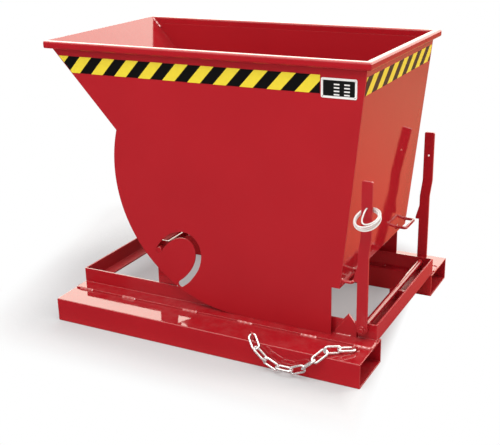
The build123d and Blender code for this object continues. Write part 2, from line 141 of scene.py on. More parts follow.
def mixShader(tree, factor, first, second):
    return addNode(tree, "ShaderNodeMixShader", {0: factor, 1: first, 2: second}).outputs[0]


def noise(tree, vector, scale, detail, rough=0.5):
    values = {"Vector": vector, "Scale": scale, "Detail": detail, "Roughness": rough}
    return addNode(tree, "ShaderNodeTexNoise", values).outputs["Fac"]


def bumpNode(tree, strength, distance, height, **others):
    values = {"Strength": strength, "Distance": distance, "Height": height, **others}
    return addNode(tree, "ShaderNodeBump", values).outputs[0]


def objectPlace(tree):
    return addNode(tree, "ShaderNodeTexCoord").outputs["Object"]


def makeGroup(name, inputs, outputs):
    group = bpy.data.node_groups.new(name, "ShaderNodeTree")
    for label, kind, value in inputs:
        socket = group.interface.new_socket(name=label, in_out="INPUT", socket_type=kind)
        socket.default_value = value
    for label, kind in outputs:
        group.interface.new_socket(name=label, in_out="OUTPUT", socket_type=kind)
    entry = group.nodes.new("NodeGroupInput")
    leave = group.nodes.new("NodeGroupOutput")
    return group, entry.outputs, leave


def useGroup(tree, group, values):
    return addNode(tree, "ShaderNodeGroup", values, node_tree=group).outputs


def makeMaterial(name):
    material = bpy.data.materials.new(name)
    material.use_nodes = True
    tree = material.node_tree
    return material, tree, tree.nodes["Principled BSDF"]


# In the dictionaries below a noise has its scale, detail and roughness, a bump its strength and height,
# and a share or another range the two ends it is read between, then the results there

# Rounded edge: the normal is eased over the radius, and the mask shows where it leaves the face's own
edgeEase = {"samples": 6, "mask": (0.99, 0.80)}


def makeRoundedEdge(spec):
    group, given, put = makeGroup(
        "roundedEdge",
        [("Radius", "NodeSocketFloat", 0.0015)],
        [("Normal", "NodeSocketVector"), ("Edge", "NodeSocketFloat")],
    )
    bevel = addNode(group, "ShaderNodeBevel", {"Radius": given["Radius"]}, samples=spec["samples"])
    eased = bevel.outputs[0]
    own = addNode(group, "ShaderNodeNewGeometry").outputs["True Normal"]
    match = vectorNode(group, "DOT_PRODUCT", eased, own, "Value")
    setSockets(group, put, {"Normal": eased, "Edge": mapRange(group, match, *spec["mask"])})
    return group


# Paint film: slow darker patches, a painted highlight on edges, dust on what faces up, a fine skin over
# slight waves
filmLook = {
    "slow": (3.5, 3.0),
    "cloud": (26.0, 6.0, 0.65),
    "wave": (14.0, 2.0),
    "fine": (620.0, 2.0),
    "skin": 0.018,                           # height of the fine noise against the waves
    "deep": (0.20, 0.003, 0.006, 1.0),
    "deepShare": (0.35, 0.7, 0.0, 0.10),     # read from the slow noise
    # A lighter red, painted on the edges as a highlight
    "edge": (0.72, 0.10, 0.10, 1.0),
    "edgeHighlightShare": (0.35, 0.6, 0.35, 0.75),    # read from the cloud
    "dust": (0.62, 0.50, 0.44, 1.0),
    "dustFacing": (0.4, 1.0),                # read from how far a face looks up
    "dustShare": (0.4, 0.72),                # read from the cloud
    "dustRough": 0.8,
    "uneven": (0.3, 0.8, -0.02, 0.05),       # change of roughness, read from the cloud
}


def makePaintFilm(spec):
    group, given, put = makeGroup(
        "paintFilm",
        [("Vector", "NodeSocketVector", (0, 0, 0)), ("Colour", "NodeSocketColor", (1, 1, 1, 1)),
         ("Edge", "NodeSocketFloat", 0.0), ("Gloss", "NodeSocketFloat", 0.2),
         ("Dust", "NodeSocketFloat", 0.1)],
        [("Colour", "NodeSocketColor"), ("Roughness", "NodeSocketFloat"), ("Height", "NodeSocketFloat")],
    )
    slow, cloud, wave, fine = [noise(group, given["Vector"], *spec[kind])
                               for kind in ("slow", "cloud", "wave", "fine")]
    darker = mixColour(group, mapRange(group, slow, *spec["deepShare"]), given["Colour"], spec["deep"])
    # Painted highlight: the edges are mixed towards the lighter red
    highlightShare = mathNode(group, "MULTIPLY", given["Edge"], mapRange(group, cloud, *spec["edgeHighlightShare"]))
    highlighted = mixColour(group, highlightShare, darker, spec["edge"])
    upward = splitNode(group, addNode(group, "ShaderNodeNewGeometry").outputs["Normal"])["Z"]
    facing = mapRange(group, upward, *spec["dustFacing"])
    settled = mathNode(group, "MULTIPLY", facing, mapRange(group, cloud, *spec["dustShare"]))
    dusty = mathNode(group, "MULTIPLY", settled, given["Dust"])
    rough = mathNode(group, "ADD", given["Gloss"], mapRange(group, cloud, *spec["uneven"]))
    skin = mathNode(group, "MULTIPLY", fine, spec["skin"])
    setSockets(group, put, {
        "Colour": mixColour(group, dusty, highlighted, spec["dust"]),
        "Roughness": mathNode(group, "ADD", rough, mathNode(group, "MULTIPLY", dusty, spec["dustRough"])),
        "Height": mathNode(group, "ADD", skin, wave),
    })
    return group


# Stripes: bands across a direction that lean as they rise, with a soft print edge
stripePrint = {"middle": 0.25, "edge": (0.247, 0.253)}   # in periods


def makeStripes(spec):
    group, given, put = makeGroup(
        "stripes",
        [("Vector", "NodeSocketVector", (0, 0, 0)), ("Along", "NodeSocketVector", (1, 0, 0)),
         ("Period", "NodeSocketFloat", 0.106), ("Lean", "NodeSocketFloat", 0.93),
         ("Start", "NodeSocketFloat", 0.0)],
        [("Band", "NodeSocketFloat")],
    )
    run = vectorNode(group, "DOT_PRODUCT", given["Vector"], given["Along"], "Value")
    height = splitNode(group, given["Vector"])["Z"]
    leaning = mathNode(group, "SUBTRACT", run, mathNode(group, "MULTIPLY", height, given["Lean"]))
    turns = mathNode(group, "DIVIDE", mathNode(group, "SUBTRACT", leaning, given["Start"]), given["Period"])
    away = mathNode(group, "PINGPONG", mathNode(group, "SUBTRACT", turns, spec["middle"]), 0.5)
    setSockets(group, put, {"Band": mapRange(group, away, *spec["edge"])})
    return group


roundedEdge = makeRoundedEdge(edgeEase)
paintFilm = makePaintFilm(filmLook)
stripes = makeStripes(stripePrint)


# Red paint: one colour in several finishes, from the mirror-like base to the duller beams and side plates.
# Gloss is the roughness, wave the height of the waves, radius the eased edge, mirror the specular level.
paintRed = (0.405, 0.0105, 0.0170, 1.0)
redPaints = {
    "redPaint": {"gloss": 0.05, "dust": 0.05, "wave": 0.0001, "radius": 0.0028, "mirror": 0.85},
    "redSheet": {"gloss": 0.06, "dust": 0.08, "wave": 0.0003, "radius": 0.0012, "mirror": 0.85},
    "redPlate": {"gloss": 0.32, "dust": 0.05, "wave": 0.0002, "radius": 0.0015, "mirror": 0.15},
    "redBeam": {"gloss": 0.45, "dust": 0.05, "wave": 0.0002, "radius": 0.0028, "mirror": 0.4},
    "redRim": {"gloss": 0.08, "dust": 0.05, "wave": 0.0002, "radius": 0.0028, "mirror": 0.30},
    "redLever": {"gloss": 0.22, "dust": 0.04, "wave": 0.0002, "radius": 0.0025, "mirror": 0.5},
    "redBolt": {"gloss": 0.20, "dust": 0.04, "wave": 0.0002, "radius": 0.0050, "mirror": 0.7},
    "redWeld": {"gloss": 0.14, "dust": 0.05, "wave": 0.0003, "radius": 0.0005, "mirror": 0.85},
}
redNodes = {
    "redSheet": ("front_sheet", "floor_sheet", "rear_wall"),
    "redPlate": ("side_plate_left", "side_plate_right"),
    "redBeam": ("front_beam", "rear_beam"),
    "redRim": ("rim_rear",),
    "redLever": ("release_lever_left", "release_lever_right"),
    "redBolt": ("lever_bolt_left", "lever_bolt_right", "lever_washer_left", "lever_washer_right"),
}


def makeRedPaint(name, spec):
    material, tree, shader = makeMaterial(name)
    edge = useGroup(tree, roundedEdge, {"Radius": spec["radius"]})
    film = useGroup(tree, paintFilm, {"Vector": objectPlace(tree), "Colour": paintRed, "Edge": edge["Edge"],
                                      "Gloss": spec["gloss"], "Dust": spec["dust"]})
    setSockets(tree, shader, {
        "Base Color": film["Colour"],
        "Roughness": film["Roughness"],
        "Normal": bumpNode(tree, 1.0, spec["wave"], film["Height"], Normal=edge["Normal"]),
        "Specular IOR Level": spec["mirror"],
    })
    return material


# Zinc: pale steel with a fine spangle and darker stains
zincLook = {
    "spangleScale": 260.0,
    "tones": (0.2, 0.8),                    # greys of the spangle that the ranges run between
    "cloud": (90.0, 4.0),
    "pale": (0.93, 0.94, 0.94, 1.0),
    "spangle": (0.78, 0.79, 0.81, 1.0),
    "spangleMost": 0.5,
    "stain": (0.55, 0.55, 0.54, 1.0),
    "stainShare": (0.55, 0.8, 0.0, 0.5),    # read from the cloud
    "bump": (0.4, 0.0004),
    "metal": 0.65,
}
zincRoughness = {"zincSteel": (0.18, 0.34), "rivetMetal": (0.24, 0.40)}


def makeZinc(name, roughness, spec):
    material, tree, shader = makeMaterial(name)
    place = objectPlace(tree)
    cells = addNode(tree, "ShaderNodeTexVoronoi", {"Vector": place, "Scale": spec["spangleScale"]})
    grey = addNode(tree, "ShaderNodeRGBToBW", {0: cells.outputs["Color"]}).outputs[0]
    cloud = noise(tree, place, *spec["cloud"])
    spangled = mapRange(tree, grey, *spec["tones"], 0.0, spec["spangleMost"])
    tint = mixColour(tree, spangled, spec["pale"], spec["spangle"])
    setSockets(tree, shader, {
        "Base Color": mixColour(tree, mapRange(tree, cloud, *spec["stainShare"]), tint, spec["stain"]),
        "Roughness": mapRange(tree, grey, *spec["tones"], *roughness),
        "Normal": bumpNode(tree, *spec["bump"], cloud),
        "Metallic": spec["metal"],
    })
    return material


# Hazard tape: yellow and black stripes, with a yellow one beginning at each tape's start
tapeLook = {
    "period": 0.1063,
    "lean": 0.93,                           # run of a stripe for its rise
    "height": 0.994,                        # at which the starts are given
    "cloud": (60.0, 4.0),
    "yellow": (0.80, 0.63, 0.035, 1.0),
    "worn": (0.66, 0.48, 0.030, 1.0),
    "wornShare": (0.3, 0.7, 0.0, 0.25),     # read from the cloud
    "black": (0.004, 0.004, 0.004, 1.0),
    "roughness": (0.3, 0.7, 0.30, 0.42),    # read from the cloud
    "bump": (0.3, 0.0003),
    "mirror": 0.25,
}
tapes = {
    "hazard_tape_left": {"along": (1, 0, 0), "start": -0.5905},
    "hazard_tape_right": {"along": (-1, 0, 0), "start": 0.0740},
    "hazard_tape_rear": {"along": (0, 1, 0), "start": -0.3560},
}


def makeTape(name, tape, spec):
    material, tree, shader = makeMaterial(name)
    place = objectPlace(tree)
    start = tape["start"] - spec["lean"] * spec["height"]
    band = useGroup(tree, stripes, {"Vector": place, "Along": tape["along"], "Period": spec["period"],
                                    "Lean": spec["lean"], "Start": start})["Band"]
    cloud = noise(tree, place, *spec["cloud"])
    yellow = mixColour(tree, mapRange(tree, cloud, *spec["wornShare"]), spec["yellow"], spec["worn"])
    setSockets(tree, shader, {
        "Base Color": mixColour(tree, band, yellow, spec["black"]),
        "Roughness": mapRange(tree, cloud, *spec["roughness"]),
        "Normal": bumpNode(tree, *spec["bump"], cloud),
        "Specular IOR Level": spec["mirror"],
    })
    return material


# Type plate: a dark field with two columns of empty entry fields inside a pale border
plateLook = {
    "border": 0.0075,
    "columns": (-0.008, 0.029),             # middles, from the plate's own
    "width": 0.020,                         # of an entry field
    "pitch": 0.0115,                        # from row to row
    "gap": 0.0070,                          # dark between two rows
    "rows": 4,
    "rowsMiddle": -0.004,
    "blur": 0.0004,                         # half a printed edge
    "dark": (0.006, 0.007, 0.007, 1.0),
    "pale": (0.78, 0.77, 0.75, 1.0),
    "grain": (900.0, 2.0),
    "roughness": (0.3, 0.7, 0.28, 0.40),    # read from the grain
    "mirror": 0.3,
}


def makeTypePlate(spec):
    material, tree, shader = makeMaterial("typePlate")
    low, high = corners("type_plate")
    place = objectPlace(tree)
    apart = vectorNode(tree, "SUBTRACT", place, tuple((low + high) / 2))
    local = splitNode(tree, apart)
    away = splitNode(tree, vectorNode(tree, "ABSOLUTE", apart))
    fieldHalf = (high - low) / 2 - spec["border"]
    rowHalf = spec["pitch"] / 2

    def past(distance, limit):
        return mapRange(tree, distance, limit - spec["blur"], limit + spec["blur"])

    def within(distance, limit):
        return mathNode(tree, "SUBTRACT", 1.0, past(distance, limit))

    pale = mathNode(tree, "MAXIMUM", past(away["X"], fieldHalf[0]), past(away["Z"], fieldHalf[2]))
    rise = mathNode(tree, "SUBTRACT", local["Z"], spec["rowsMiddle"])
    fromRow = mathNode(tree, "PINGPONG", mathNode(tree, "SUBTRACT", rise, rowHalf), rowHalf)
    among = mathNode(tree, "LESS_THAN", mathNode(tree, "ABSOLUTE", rise), rowHalf * spec["rows"])
    inRows = mathNode(tree, "MULTIPLY", within(fromRow, rowHalf - spec["gap"] / 2), among)
    for middle in spec["columns"]:
        fromColumn = mathNode(tree, "ABSOLUTE", mathNode(tree, "SUBTRACT", local["X"], middle))
        entry = mathNode(tree, "MULTIPLY", within(fromColumn, spec["width"] / 2), inRows)
        pale = mathNode(tree, "MAXIMUM", pale, entry)
    setSockets(tree, shader, {
        "Base Color": mixColour(tree, pale, spec["dark"], spec["pale"]),
        "Roughness": mapRange(tree, noise(tree, place, *spec["grain"]), *spec["roughness"]),
        "Specular IOR Level": spec["mirror"],
    })
    return material


# Rope yarn: off-white with greyer lengths and fine fibres
yarnLook = {
    "cloud": (120.0, 4.0),
    "fibre": (1500.0, 2.0),
    "pale": (0.82, 0.81, 0.78, 1.0),
    "grey": (0.60, 0.58, 0.54, 1.0),
    "greyShare": (0.35, 0.75, 0.0, 0.5),    # read from the cloud
    "bump": (0.5, 0.0005),
    "rough": 0.8,
}


def makeRopeYarn(spec):
    material, tree, shader = makeMaterial("ropeYarn")
    place = objectPlace(tree)
    greyer = mapRange(tree, noise(tree, place, *spec["cloud"]), *spec["greyShare"])
    fibre = noise(tree, place, *spec["fibre"])
    setSockets(tree, shader, {
        "Base Color": mixColour(tree, greyer, spec["pale"], spec["grey"]),
        "Normal": bumpNode(tree, *spec["bump"], fibre),
        "Roughness": spec["rough"],
    })
    return material


# Each node gets its own finish where it has one, and otherwise that of its slot
reds = {name: makeRedPaint(name, spec) for name, spec in redPaints.items()}
zincs = {name: makeZinc(name, roughness, zincLook) for name, roughness in zincRoughness.items()}
ropeYarn = makeRopeYarn(yarnLook)
slotMaterials = {"red_paint": reds["redPaint"], "zinc_steel": zincs["zincSteel"],
                 "type_plate": makeTypePlate(plateLook), "rope": ropeYarn}
nodeMaterials = {node: reds[paint] for paint, group in redNodes.items() for node in group}
nodeMaterials.update({name: makeTape(name, tape, tapeLook) for name, tape in tapes.items()})
for part in frame["record"]["subparts"]:
    slots = nodes[part["node"]].data.materials
    slots.clear()
    slots.append(nodeMaterials.get(part["node"]) or slotMaterials[part["material_slot"]])
print("materials set")


# Faces of a grid whose columns run round: a quad from each point to the next row and column
def tubeFaces(rows, columns):
    i = np.arange(rows - 1)[:, None]
    j = np.arange(columns)[None, :]
    k = (j + 1) % columns
    quads = np.stack((i * columns + j, i * columns + k, (i + 1) * columns + k, (i + 1) * columns + j), -1)
    return quads.reshape(-1, 4)


# The same quads with a face on each end
def cappedFaces(rows, columns):
    cap = np.arange(columns)
    return tubeFaces(rows, columns), np.stack((cap[::-1], cap + (rows - 1) * columns))


# The same quads with the last row joined to the first
def ringFaces(rows, columns):
    return (tubeFaces(rows + 1, columns) % (rows * columns),)


# A piece from grids with their faces: each grid's faces count on from the points before it
def makePiece(name, grids, material, body):
    firsts = np.cumsum([0] + [points.size // 3 for points, _ in grids])
    faces = []
    for first, (_, blocks) in zip(firsts, grids):
        for block in blocks:
            faces += (block + first).tolist()
    mesh = bpy.data.meshes.new(name)
    mesh.from_pydata(np.concatenate([points.reshape(-1, 3) for points, _ in grids]).tolist(), [], faces)
    mesh.polygons.foreach_set("use_smooth", np.full(len(mesh.polygons), True))
    mesh.materials.append(material)
    mesh.update()
    piece = bpy.data.objects.new(name, mesh)
    bpy.context.scene.collection.objects.link(piece)
    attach(piece, body)
    return piece


def turnOutwards(mesh):
    work = bmesh.new()
    work.from_mesh(mesh)
    bmesh.ops.recalc_face_normals(work, faces=work.faces)
    work.to_mesh(mesh)
    work.free()


# Release rope: three strands laid round each other along the lead and the coil
rope = {
    "diameter": 0.006,
    "gap": 0.0008,          # between two turns
    "turns": 1.5,           # in each of the two layers
    "innerRadius": 0.038,
    "centreFromHole": (0.006, -0.009, -0.031),
    "tilt": 31.0,           # degrees
    "start": -110.0,        # degrees
    "raised": 0.14,         # rise of the coil for its run along +X
    "fan": 0.0065,          # how far the layers part where they hang free
    "wander": 0.0020,       # change of radius there
    "waves": 1.7,           # of that change in a turn
    "lead": ((0.0, 0.019, 0.0), (0.0, 0.005, 0.0), (0.0, -0.004, 0.0), (-0.001, -0.022, -0.006)),
    "ease": 0.013,          # along both arms of the corner between the lead and the coil
    "pointsPerTurn": 16,
    "smoothSteps": 8,
    "strands": 3,
    "lay": 0.020,           # run in which a strand goes round once
    "groove": 0.20,         # depth between two strands, as a share of the radius
    "swell": 0.7,           # power that rounds the strands
    "around": 24,
}
ropeKnot = {
    "thick": 0.44,          # radius of its cord, in rope diameters
    "points": 96,
    "around": 12,
    "groove": 0.1,
    "lays": 8,              # turns of a strand in the whole knot
}


def coilNormal(spec):
    tilt = math.radians(spec["tilt"])
    return np.array((0.0, -math.sin(tilt), math.cos(tilt)))


# Route: the lead's points, then a spiral on a tilted plane that runs out for its turns, drops a layer in
# half a turn and runs in again
def ropeRoute(spec):
    holeX, _, holeZ = [m["pos_m"] for m in frame["record"]["mounts"] if m["name"] == "rope_hole_right"][0]
    hole = np.array((holeX, corners("release_lever_left")[0][1], holeZ))
    centre = hole + np.array(spec["centreFromHole"])
    normal = coilNormal(spec)
    across = np.cross(normal, rearward)
    step = spec["diameter"] + spec["gap"]
    total = 2 * spec["turns"] + 0.5
    turns = np.linspace(0, total, int(total * spec["pointsPerTurn"]) + 1)
    swing = 2 * np.pi * (turns - spec["turns"])
    outer = turns < spec["turns"]
    inner = turns >= spec["turns"] + 0.5
    widest = spec["turns"] + np.sin(swing) / (2 * np.pi)
    out = np.where(outer, turns, np.where(inner, total - turns, widest))
    level = np.where(outer, 0.0, np.where(inner, 1.0, (1 - np.cos(swing)) / 2))
    angle = math.radians(spec["start"]) + 2 * np.pi * turns
    # The turns lie closest at the back of the lever and fan out where they hang free
    free = (1 - np.sin(angle)) / 2
    radius = spec["innerRadius"] + step * out + spec["wander"] * free * np.sin(spec["waves"] * angle)
    lift = spec["fan"] * free * (1 - 2 * level) - step * level
    flat = (radius * np.cos(angle))[:, None] * rearward + (radius * np.sin(angle))[:, None] * across
    coil = centre + flat + lift[:, None] * normal
    coil[:, 2] += spec["raised"] * (coil[:, 0] - centre[0])
    lead = hole + np.array(spec["lead"])
    # The corner between the lead and the first turn is eased by two points on its arms
    arms = np.stack((lead[-1], coil[2])) - coil[0]
    eased = coil[0] + spec["ease"] * arms / np.linalg.norm(arms, axis=1)[:, None]
    tail = coil[-1] - coil[-2]
    end = coil[-1] + tail / np.linalg.norm(tail) * spec["diameter"]
    return np.vstack((lead, eased, coil[2:], end))


# Points along the smooth curve that has the route as its control points
def smoothLine(name, points, steps):
    data = bpy.data.curves.new(name, "CURVE")
    data.dimensions = "3D"
    data.resolution_u = steps
    spline = data.splines.new("NURBS")
    spline.points.add(len(points) - 1)
    spline.points.foreach_set("co", np.c_[points, np.ones(len(points))].ravel())
    spline.order_u = 3
    spline.use_endpoint_u = True
    holder = bpy.data.objects.new(name, data)
    bpy.context.scene.collection.objects.link(holder)
    line = bpy.data.meshes.new_from_object(holder)
    co = np.zeros(len(line.vertices) * 3)
    line.vertices.foreach_get("co", co)
    bpy.data.meshes.remove(line)
    bpy.data.objects.remove(holder)
    bpy.data.curves.remove(data)
    return co.reshape(-1, 3)


def unit(vectors):
    return vectors / np.linalg.norm(vectors, axis=1)[:, None]


# A section carried along a line: at each point a circle with its own radii, which starts at the part of the
# given direction that is square to the line
def carrySection(line, tangent, direction, turn, radius):
    side = unit(direction - tangent * np.sum(direction * tangent, axis=1)[:, None])
    other = np.cross(tangent, side)
    circle = side[:, None] * np.cos(turn)[None, :, None] + other[:, None] * np.sin(turn)[None, :, None]
    return line[:, None] + radius[..., None] * circle


# Knot: a trefoil, whose line reaches 3 sizes out, drawn tight round the cord's tail, with a section that is
# grooved between the strands, and the grooves turn along it
def makeKnot(spec, knot):
    low, high = corners("rope_knot")
    thick = spec["diameter"] * knot["thick"]
    size = ((high[0] - low[0]) / 2 - thick) / 3
    middle = np.array(((low[0] + high[0]) / 2, low[1] + thick + size, (low[2] + high[2]) / 2))
    t = np.linspace(0, 2 * np.pi, knot["points"], endpoint=False)
    trefoil = (np.sin(t) + 2 * np.sin(2 * t), -np.sin(3 * t), np.cos(t) - 2 * np.cos(2 * t))
    line = middle + size * np.stack(trefoil, axis=1)
    tangent = unit(np.roll(line, -1, axis=0) - np.roll(line, 1, axis=0))
    turn = np.linspace(0, 2 * np.pi, knot["around"], endpoint=False)
    strand = np.abs(np.cos(spec["strands"] / 2 * (turn[None, :] - knot["lays"] * t[:, None])))
    radius = thick * (1 - knot["groove"] + knot["groove"] * strand)
    grid = carrySection(line, tangent, line - middle, turn, radius)
    piece = makePiece("rope_stop_knot", [(grid, ringFaces(*radius.shape))], ropeYarn, "lever")
    turnOutwards(piece.data)
    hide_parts("rope_knot")
    return piece


# Rope: a section that swells on each strand and dips in the grooves between them, turned along the run
def makeRope(spec, knot):
    line = smoothLine("ropeRoute", ropeRoute(spec), spec["smoothSteps"])
    run = np.r_[0, np.cumsum(np.linalg.norm(np.diff(line, axis=0), axis=1))]
    turn = np.linspace(0, 2 * np.pi, spec["around"], endpoint=False)
    phase = spec["strands"] * (turn[None, :] - 2 * np.pi * run[:, None] / spec["lay"])
    strand = np.abs(np.cos(phase / 2)) ** spec["swell"]
    radius = spec["diameter"] / 2 * (1 - spec["groove"] + spec["groove"] * strand)
    grid = carrySection(line, unit(np.gradient(line, axis=0)), coilNormal(spec)[None, :], turn, radius)
    piece = makePiece("release_rope_laid", [(grid, cappedFaces(*radius.shape))], ropeYarn, "lever")
    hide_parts("release_rope")
    length = float(run[-1])
    makeKnot(spec, knot)
    return length


print("rope:", round(makeRope(rope, ropeKnot), 3), "m")


# Weld beads
beadLook = {
    "step": 0.0011,         # from row to row along a bead
    "across": 7,            # points over its face
    "ringRows": 64,         # rows of a bead round a bar
    "chord": 0.72,          # share of a flat face in the bulge, where the rest is round
    "ripple": 0.0032,       # length of one ripple
    "swell": 0.07,          # height of a ripple, as a share of the leg
    "trail": 1.6,           # how much a ripple curves back at the bead's edges
    "wander": ((0.05, 310.0, 90.0), (0.04, 97.0, 40.0)),   # share, rate along the run, shift with the place
    "tip": 0.06,            # square of the least size at the ends
    "root": 0.0003,         # how far the root lies behind the corner
}


# Angles over a bead's face, and its distance from the corner there: part flat chord, part quarter circle
def beadFace():
    phi = np.linspace(0, np.pi / 2, beadLook["across"])
    return phi, beadLook["chord"] / (np.cos(phi) + np.sin(phi)) + 1 - beadLook["chord"]


# Grid of a bead: in each row the face turns from one direction to the other, and the root closes it behind
def beadGrid(corner, radius, phi, faceA, faceB):
    skin = corner + radius[..., None] * (np.cos(phi)[:, None] * faceA + np.sin(phi)[:, None] * faceB)
    return np.concatenate((skin, corner - beadLook["root"] * (faceA + faceB)), axis=1)


# Straight bead: the size of a sine ripples it, two slower sines make it wander, and at both ends it falls
# along a quarter circle
def fillet(start, end, faceA, faceB, leg):
    start = np.array(start)
    end = np.array(end)
    length = np.linalg.norm(end - start)
    s = np.linspace(0, length, int(length / beadLook["step"]))
    phi, reach = beadFace()
    late = beadLook["trail"] * (phi / (np.pi / 2) - 0.5) ** 2
    ripple = 1 + beadLook["swell"] * np.abs(np.sin(np.pi * (s[:, None] / beadLook["ripple"] - late)))
    slow = [share * np.sin(s * rate + start.sum() * shift) for share, rate, shift in beadLook["wander"]]
    near = np.clip(np.minimum(s, length - s) / leg, 0, 1)
    taper = np.sqrt(np.clip(1 - (1 - near) ** 2, beadLook["tip"], 1))
    size = (1 + sum(slow)) * taper
    corner = start + (end - start) * (s / length)[:, None]
    grid = beadGrid(corner[:, None], leg * reach * ripple * size[:, None], phi, faceA, faceB)
    return grid, cappedFaces(*grid.shape[:2])


# Bead round a bar that stands on a face: the same section carried round the bar's circle
def ringBead(middle, first, second, axis, radius, leg):
    angle = np.linspace(0, 2 * np.pi, beadLook["ringRows"], endpoint=False)
    phi, reach = beadFace()
    out = np.cos(angle)[:, None] * first + np.sin(angle)[:, None] * second
    ripple = 1 + beadLook["swell"] * np.abs(np.sin(np.pi * angle * radius / beadLook["ripple"]))
    corner = np.array(middle) + radius * out
    grid = beadGrid(corner[:, None], leg * reach * ripple[:, None], phi, out[:, None], axis)
    return grid, ringFaces(*grid.shape[:2])


def makeWelds(name, beads, body):
    piece = makePiece(name, beads, reds["redWeld"], body)
    turnOutwards(piece.data)


# Base welds: stitches along the rails, then the rails' ends, the brackets, the beams and the guide bar
baseWelds = {
    "stitches": (-0.567, -0.357, -0.070, 0.172, 0.437, 0.644),   # middles along X
    "stitchLength": 0.072,
    "outerLeg": 0.0085,
    "innerLeg": 0.0055,
    "endReach": (0.002, 0.050),   # from the flange's edge
    "footLeg": 0.006,             # at the rails' ends and under the brackets
    "uprightLeg": 0.005,          # up the rails' inner faces and round the guide bar
    "inset": 0.003,
    "bracketInset": 0.004,
    "steel": 0.006,               # thickness of the beams
}


def layBaseWelds(side, sign, spec):
    rail = f"side_rail_{side}"
    bracket = f"guide_bar_bracket_{side}"
    railLow, railHigh = corners(rail)
    innerY, outerY = facesAcross(rail, sign)
    foot = corners(f"fork_pocket_{side}")[1][2]
    outwards = sign * rightward
    half = spec["stitchLength"] / 2
    beads = []
    for middle in spec["stitches"]:
        for y, facing, leg in ((outerY, outwards, spec["outerLeg"]), (innerY, -outwards, spec["innerLeg"])):
            beads.append(fillet((middle - half, y, foot), (middle + half, y, foot), facing, up, leg))
    edgeStart, edgeEnd = [outerY - sign * reach for reach in spec["endReach"]]
    for x, facing in ((railHigh[0], rearward), (railLow[0], -rearward)):
        beads.append(fillet((x, edgeStart, foot), (x, edgeEnd, foot), facing, up, spec["footLeg"]))
    bracketLow, bracketHigh = corners(bracket)
    bracketY = facesAcross(bracket, sign)[0]
    bracketStart = (bracketLow[0] + spec["inset"], bracketY, foot)
    bracketEnd = (bracketHigh[0] - spec["inset"], bracketY, foot)
    beads.append(fillet(bracketStart, bracketEnd, -outwards, up, spec["footLeg"]))
    beamFoot = corners("rear_beam")[0][2] + spec["steel"]
    rearX = corners("rear_beam")[1][0] - spec["steel"]
    frontX = corners("front_beam")[0][0] + spec["steel"]
    uprights = (
        (bracketLow[0], foot, spec["bracketInset"], -rearward),
        (rearX, beamFoot, spec["inset"], -rearward),
        (frontX, beamFoot, spec["inset"], rearward),
    )
    for x, bottom, inset, facing in uprights:
        start = (x, innerY, bottom + inset)
        end = (x, innerY, railHigh[2] - inset)
        beads.append(fillet(start, end, facing, -outwards, spec["uprightLeg"]))
    barLow, barHigh = corners("guide_bar")
    barX, _, barZ = (barLow + barHigh) / 2
    barRadius = (barHigh[2] - barLow[2]) / 2
    beads.append(ringBead((barX, bracketY, barZ), rearward, up, -outwards, barRadius, spec["uprightLeg"]))
    makeWelds(f"base_welds_{side}", beads, "frame")


# Hopper welds: the inside corners at the lip, stitches under the side rims, the striker loops' legs
hopperWelds = {
    "lipLength": 0.062,
    "lipLeg": 0.006,
    "lipBelow": 0.004,            # from the lip, down the slope
    "rimStitches": 6,
    "rimLength": 0.055,
    "rimLeg": 0.004,
    "rimInset": 0.12,             # from the rim's ends to the nearest middles
    "loopLeg": 0.005,
    "loopOut": 0.001,             # from the end of the loop's leg
    "wallRise": (0.1, 0.0, 1.0),  # up the leaning rear wall
}


def layHopperWelds(side, sign, spec):
    plate = f"side_plate_{side}"
    outwards = sign * rightward
    sheetLow, sheetHigh = corners("front_sheet")
    plateLow, plateHigh = corners(plate)
    plateInner, plateOuter = facesAcross(plate, sign)
    lean = math.atan2(plateHigh[2] - sheetLow[2], sheetHigh[0] - plateLow[0])
    down = np.array((math.cos(lean), 0.0, -math.sin(lean)))
    sheetFace = np.array((math.sin(lean), 0.0, math.cos(lean)))
    lip = np.array((sheetLow[0], plateInner, sheetHigh[2])) + down * spec["lipBelow"]
    beads = [fillet(lip, lip + down * spec["lipLength"], sheetFace, -outwards, spec["lipLeg"])]
    rimLow, rimHigh = corners(f"rim_{side}")
    half = spec["rimLength"] / 2
    rimStart = rimLow[0] + spec["rimInset"]
    rimEnd = rimHigh[0] - spec["rimInset"]
    for middle in np.linspace(rimStart, rimEnd, spec["rimStitches"]):
        beads.append(fillet((middle - half, plateOuter, rimLow[2]), (middle + half, plateOuter, rimLow[2]),
                            outwards, -up, spec["rimLeg"]))
    loopLow, loopHigh = corners(f"striker_loop_{side}")
    radius = (loopHigh[2] - loopLow[2]) / 2
    wallRise = np.array(spec["wallRise"])
    for y in (loopLow[1] + radius, loopHigh[1] - radius):
        legEnd = (loopLow[0] + spec["loopOut"], y, loopLow[2] + radius)
        beads.append(ringBead(legEnd, rightward, wallRise, rearward, radius, spec["loopLeg"]))
    makeWelds(f"hopper_welds_{side}", beads, "hopper")


# Small welds: along the wedge and the bearing lug, and round the feet of the chain's eyes
smallWelds = {
    "inset": 0.004,
    "wedgeLeg": 0.004,
    "wedgeTail": 0.020,           # left free at the wedge's rear
    "lugLeg": 0.005,
    "eyeBar": 0.004,              # radius of the eyes' bar
    "eyeLeg": 0.004,
}


